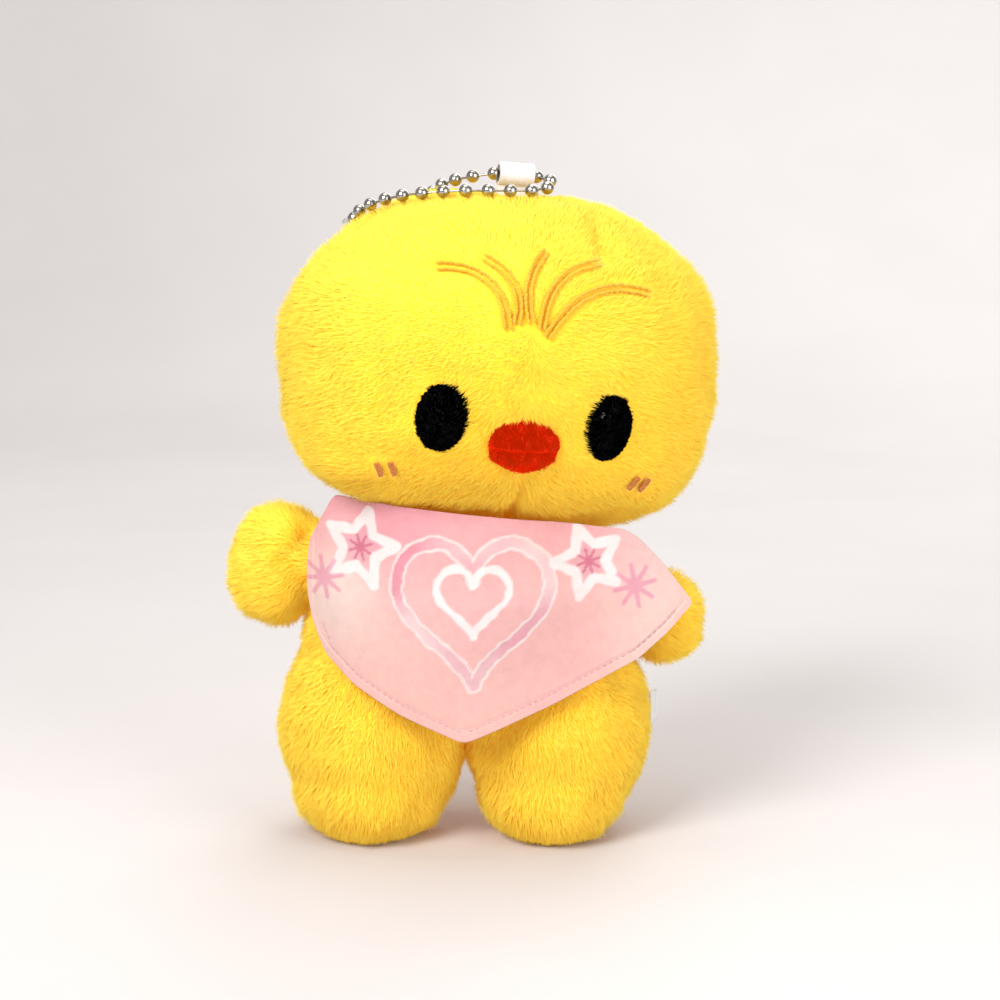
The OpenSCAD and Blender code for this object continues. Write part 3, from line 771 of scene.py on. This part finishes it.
def pad(name, middle, r, height, mat):
    """Raised patch on the face. height gives how high it stands, in millimetres, over its unit disc."""
    rings, spokes = PAD_RINGS, PAD_SPOKES
    verts, faces = [], []
    rng = np.random.default_rng(len(name))
    edge = 1 + 0.02 * np.sin(np.arange(spokes) * 2.1 + rng.uniform(0, 6)) + rng.uniform(-0.015, 0.015, spokes)
    for i in range(rings + 1):
        rho = (i / rings) ** 0.85
        for k in range(spokes if i else 1):
            a = 2 * math.pi * k / spokes
            u, v = rho * edge[k] * math.cos(a), rho * edge[k] * math.sin(a)
            verts.append(on_face(u * r[0] + middle[0], v * r[1] + middle[1],
                                 height(u, v, rho) if i < rings else -0.3)[0])
    for i in range(rings):
        for k in range(spokes):
            j = (k + 1) % spokes
            if i == 0:
                faces.append((0, 1 + j, 1 + k))
            else:
                a, b = 1 + (i - 1) * spokes, 1 + i * spokes
                faces.append((a + k, a + j, b + j, b + k))
    return add_object(name, verts, faces, mat)


def eye_height(u, v, rho):
    return 0.35 + 0.75 * (1 - rho ** 4)


def beak_height(u, v, rho):
    crease = v + 0.12 + 0.1 * u * u
    lips = 0.9 + 1.7 * (1 - rho ** 3.5)
    return lips - 1.15 * math.exp(-(crease / 0.11) ** 2) * (1 - rho ** 6)


left_eye = pad("left_eye_pad", LEFT_EYE, EYE_R, eye_height, MAT["black_backing"])
right_eye = pad("right_eye_pad", RIGHT_EYE, EYE_R, eye_height, MAT["black_backing"])
beak = pad("beak_pad", BEAK, BEAK_R, beak_height, MAT["red_backing"])


def outward_from(middle, sides=1.0, ups=1.0):
    def comb(p, n):
        q = in_head(p)
        return from_head(np.stack([(q[:, 0] - middle[0]) * sides, np.zeros(len(q)),
                                   (q[:, 2] - middle[1]) * ups + 0.01], 1))
    return comb


def lips_comb(p, n):
    q = in_head(p)
    v = (q[:, 2] - BEAK[1]) / BEAK_R[1] + 0.12
    return from_head(np.stack([(q[:, 0] - BEAK[0]) * 0.1, np.zeros(len(q)), np.where(v > 0, 1.0, -1.0)], 1))


def tufted(shortest, longest, seed):
    return lambda p, n: shortest + (longest - shortest) * np.clip(0.35 + 0.8 * waves(p, 0.0016, seed, 2), 0, 1)


def eye_pile(name, base, middle, seed):
    return pile(name, base, 8000, seed, tufted(0.8, 2.5, seed + 100), outward_from(middle, 1.6, 0.7),
                constant(1.15), MAT["black_pile"], width=0.08, clump=0.003)


# The glint is a painted highlight: a few white, glowing strands on the right eye.
GLINT, GLINT_R = (13.2, -6.2), 0.5


def in_glint(p, n):
    q = in_head(p)
    return (np.hypot(q[:, 0] - GLINT[0], q[:, 2] - GLINT[1]) < GLINT_R) * 1.0


left_eye_pile = eye_pile("left_eye_pile", left_eye, LEFT_EYE, 107)
right_eye_pile = eye_pile("right_eye_pile", right_eye, RIGHT_EYE, 108)
glint = pile("right_eye_glint", right_eye, 26, 110, constant(0.9), outward_from(RIGHT_EYE), constant(0.9),
             MAT["painted_highlight_pile"], in_glint, width=0.08)
beak_pile = pile("beak_pile", beak, 8000, 109, tufted(1.3, 2.3, 209), lips_comb, constant(1.2), MAT["red_pile"],
                 width=0.11, clump=0.004, stray=0.12)


def stitch_mesh(centres, ways, ups, long, wide):
    """Short fat stitches, one at each place along a seam, as small six-sided capsules."""
    verts, faces = [], []
    profile = [(-0.5, 0.0), (-0.38, 0.7), (0.0, 1.0), (0.38, 0.7), (0.5, 0.0)]
    for c, w, up in zip(centres, ways, ups):
        side = w.cross(up).normalized()
        top = side.cross(w).normalized()
        rings = []
        for t, r in profile:
            mid = c + w * t * long
            if r == 0:
                verts.append(mid)
                rings.append([len(verts) - 1])
            else:
                rings.append([])
                for k in range(6):
                    a = k * math.pi / 3
                    verts.append(mid + (side * math.cos(a) + top * math.sin(a)) * wide * r / 2)
                    rings[-1].append(len(verts) - 1)
        for r0, r1 in zip(rings, rings[1:]):
            for k in range(6):
                j = (k + 1) % 6
                if len(r0) == 1:
                    faces.append((r0[0], r1[j], r1[k]))
                elif len(r1) == 1:
                    faces.append((r0[k], r0[j], r1[0]))
                else:
                    faces.append((r0[k], r0[j], r1[j], r1[k]))
    return verts, faces


def run_of(line):
    """Distance along a line of points to each of them."""
    return np.concatenate([[0], np.cumsum(np.linalg.norm(np.diff(line, axis=0), axis=1))])


def along(line, run, s):
    return np.array([np.interp(s, run, line[:, k]) for k in (0, 1)])


def sewn(name, lines, mat, long, wide, height, offsets, seed, gap=0.8):
    """Rows of stitches along lines on the face, each row a little to one side of its line."""
    rng = np.random.default_rng(seed)
    centres, ways, ups = [], [], []
    for line in lines:
        run = run_of(line)
        for offset in offsets:
            for s in np.arange(long / 2, run[-1], long * gap):
                at = along(line, run, s)
                ahead = along(line, run, s + 0.2) - along(line, run, s - 0.2)
                ahead = ahead / max(np.linalg.norm(ahead), 1e-9)
                at = at + np.array((-ahead[1], ahead[0])) * (offset + rng.normal() * 0.05)
                turn = rng.normal() * 0.14
                ahead = np.array((ahead[0] - ahead[1] * turn, ahead[1] + ahead[0] * turn))
                a, up = on_face(at[0] - ahead[0] * 0.3, at[1] - ahead[1] * 0.3, height)
                b, _ = on_face(at[0] + ahead[0] * 0.3, at[1] + ahead[1] * 0.3, height)
                centres.append((a + b) / 2)
                ways.append((b - a).normalized())
                ups.append(up)
    verts, faces = stitch_mesh(centres, ways, ups, long * MM, wide * MM)
    return add_object(name, verts, faces, mat)


def cheek_dashes(name, side, seed):
    lines = [stroke(a, b, 0, 8) for a, b in CHEEKS if a[0] * side > 0]
    return sewn(name, lines, MAT["brown_thread"], 1.0, 0.5, 0.7, (-0.3, 0.0, 0.3), seed, 0.5)


tuft = sewn("forehead_tuft_stitches", list(tuft_strokes()), MAT["orange_thread"], 0.95, 0.62, 0.6,
            (-0.5, 0.5), 41, 0.62)
left_cheek = cheek_dashes("left_cheek_dashes", -1, 42)
right_cheek = cheek_dashes("right_cheek_dashes", 1, 43)


def hem_stitches():
    """A row of stitches a little inside each lower edge of the bandana."""
    line = np.array(LOW_EDGE[1:])
    run = run_of(line)
    centres, ways, ups = [], [], []
    for s in np.arange(2, run[-1] - 2, 1.25):
        a, b = along(line, run, s - 0.6), along(line, run, s + 0.6)
        ahead = (b - a) / np.linalg.norm(b - a)
        places = []
        for q in (a, b):
            x, z = q + np.array((-ahead[1], ahead[0])) * HEM_IN
            places.append(Vector((x, float(cloth_y(x, z)) - 0.08, z)) * MM)
        centres.append((places[0] + places[1]) / 2)
        ways.append((places[1] - places[0]).normalized())
        ups.append(Vector((0, -1, 0)))
    verts, faces = stitch_mesh(centres, ways, ups, 0.95 * MM, 0.24 * MM)
    return add_object("hem_stitches", verts, faces, MAT["pink_thread"])


hem = hem_stitches()

# ---- Carried-over CAD pieces ----

def steel(name, colour, rough):
    mat, tree, bsdf = nodes_of(name)
    co = coords_of(tree)
    tarnish = noise_of(tree, co, 700, 4, 0.7)
    tree.links.new(ramp(tree, tarnish, [(0.25, tuple(c * 0.55 for c in colour)), (0.6, colour)]),
                   bsdf.inputs["Base Color"])
    spread = node(tree, "MapRange", {"Value": tarnish, "To Min": rough + 0.12, "To Max": rough - 0.05})
    tree.links.new(spread.outputs[0], bsdf.inputs["Roughness"])
    tree.links.new(bump_of(tree, noise_of(tree, co, 2600, 3), 0.15, 0.02 * MM), bsdf.inputs["Normal"])
    bsdf.inputs["Metallic"].default_value = 1
    return mat


def ribbon_material(name, colour):
    mat, tree, bsdf = nodes_of(name)
    co = coords_of(tree)
    ribs = ribs_of(tree, co, 1100, 0.4, "X")
    fuzz = noise_of(tree, co, 1200, 3)
    height = node(tree, "Math", {0: ribs, 1: fuzz}, operation="ADD").outputs[0]
    tree.links.new(ramp(tree, fuzz, [(0.3, tuple(c * 0.9 for c in colour)), (0.6, colour)]),
                   bsdf.inputs["Base Color"])
    tree.links.new(bump_of(tree, height, 0.35, 0.05 * MM), bsdf.inputs["Normal"])
    bsdf.inputs["Roughness"].default_value = 0.5
    bsdf.inputs["Sheen Weight"].default_value = 0.2
    return mat


MAT["ball_steel"] = steel("ball_steel", (0.5, 0.48, 0.43), 0.18)
MAT["link_steel"] = steel("link_steel", (0.42, 0.4, 0.36), 0.3)
MAT["white_ribbon"] = ribbon_material("white_ribbon", (0.68, 0.68, 0.69))
MAT["label"] = ribbon_material("white_label", (0.68, 0.68, 0.69))

CAD_DRESS = {"body_stuffing": "filling", "head_stuffing": "filling", "left_arm_stuffing": "filling",
             "right_arm_stuffing": "filling", "care_label": "label", "bandana_closure_patch": "hooks",
             "neck_stitching": "yellow_thread", "ribbon_tab": "white_ribbon",
             "chain_connector": "ball_steel"}
for name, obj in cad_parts.items():
    if name.startswith("chain_") and name.endswith("_balls"):
        dress(obj, MAT["ball_steel"])
    elif name.startswith("chain_") and name.endswith("_links"):
        dress(obj, MAT["link_steel"])
    elif name in CAD_DRESS:
        dress(obj, MAT[CAD_DRESS[name]])

# ---- What rides on what ----

for piece, body_name, slot, replaced in (
        (head, "head", "yellow_plush", ("head_front_panel", "head_back_panel")),
        (head_front_pile, "head", "yellow_plush", ("head_front_panel",)),
        (head_back_pile, "head", "yellow_plush", ("head_back_panel",)),
        (body, "body", "yellow_plush", ("body_front_panel", "body_back_panel")),
        (body_front_pile, "body", "yellow_plush", ("body_front_panel",)),
        (body_back_pile, "body", "yellow_plush", ("body_back_panel",)),
        (left_arm, "left_arm", "yellow_plush", ("left_arm_cover",)),
        (left_arm_pile, "left_arm", "yellow_plush", ("left_arm_cover",)),
        (right_arm, "right_arm", "yellow_plush", ("right_arm_cover",)),
        (right_arm_pile, "right_arm", "yellow_plush", ("right_arm_cover",)),
        (bandana, None, "printed_cloth", ("bandana",)),
        (hem, None, "pink_thread", ("bandana_hem_stitching",)),
        (neck_band, "body", "printed_cloth", ("bandana_neck_band",)),
        (glint, "head", "black_thread", ("right_eye",)),
        (left_eye, "head", "black_thread", ("left_eye",)),
        (left_eye_pile, "head", "black_thread", ("left_eye",)),
        (right_eye, "head", "black_thread", ("right_eye",)),
        (right_eye_pile, "head", "black_thread", ("right_eye",)),
        (beak, "head", "red_thread", ("beak", "beak_stitching")),
        (beak_pile, "head", "red_thread", ("beak",)),
        (tuft, "head", "orange_thread", ("forehead_stitching",)),
        (left_cheek, "head", "brown_thread", ("left_cheek_stitches",)),
        (right_cheek, "head", "brown_thread", ("right_cheek_stitches",))):
    if body_name:
        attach(piece, body_name)
    else:
        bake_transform(piece)
    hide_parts(*replaced)

# ---- Floor, light ----

def backdrop():
    """Pale floor that curves up into a pale wall far behind."""
    profile = [(-1.2, 0)] + [(0.55 + 0.35 * math.sin(a), 0.35 - 0.35 * math.cos(a))
                             for a in np.linspace(0, math.pi / 2, 16)] + [(0.9, 1.6)]
    verts = [(x, y, z) for x in (-1.6, 1.6) for y, z in profile]
    n = len(profile)
    obj = add_object("floor", verts, [(i, i + n, i + n + 1, i + 1) for i in range(n - 1)], floor_material())


def floor_material():
    mat, tree, bsdf = nodes_of("pale_floor")
    soft = noise_of(tree, coords_of(tree), 6, 3)
    tree.links.new(ramp(tree, soft, [(0.3, (0.58, 0.55, 0.54)), (0.7, (0.62, 0.59, 0.58))]),
                   bsdf.inputs["Base Color"])
    bsdf.inputs["Roughness"].default_value = 0.7
    return mat


def soft_light(name, place, size, power):
    data = bpy.data.lights.new(name, "AREA")
    data.size = size
    data.energy = power
    lamp = bpy.data.objects.new(name, data)
    scene.collection.objects.link(lamp)
    lamp.location = place
    lamp.rotation_euler = (Vector((0, 0, 0.07)) - Vector(place)).to_track_quat("-Z", "Y").to_euler()


backdrop()
soft_light("key", (-0.38, -0.62, 0.55), 0.4, 8.7)
soft_light("fill", (0.6, -0.6, 0.3), 0.6, 4.4)
soft_light("top", (0.0, 0.1, 0.9), 0.6, 3)
soft_light("rear", (0.25, 0.75, 0.5), 0.6, 3)
world = bpy.data.worlds.new("soft_air")
scene.world = world
world.use_nodes = True
world.node_tree.nodes["Background"].inputs["Color"].default_value = (1, 0.98, 0.97, 1)
world.node_tree.nodes["Background"].inputs["Strength"].default_value = 0.4
scene.view_settings.view_transform = "Standard"
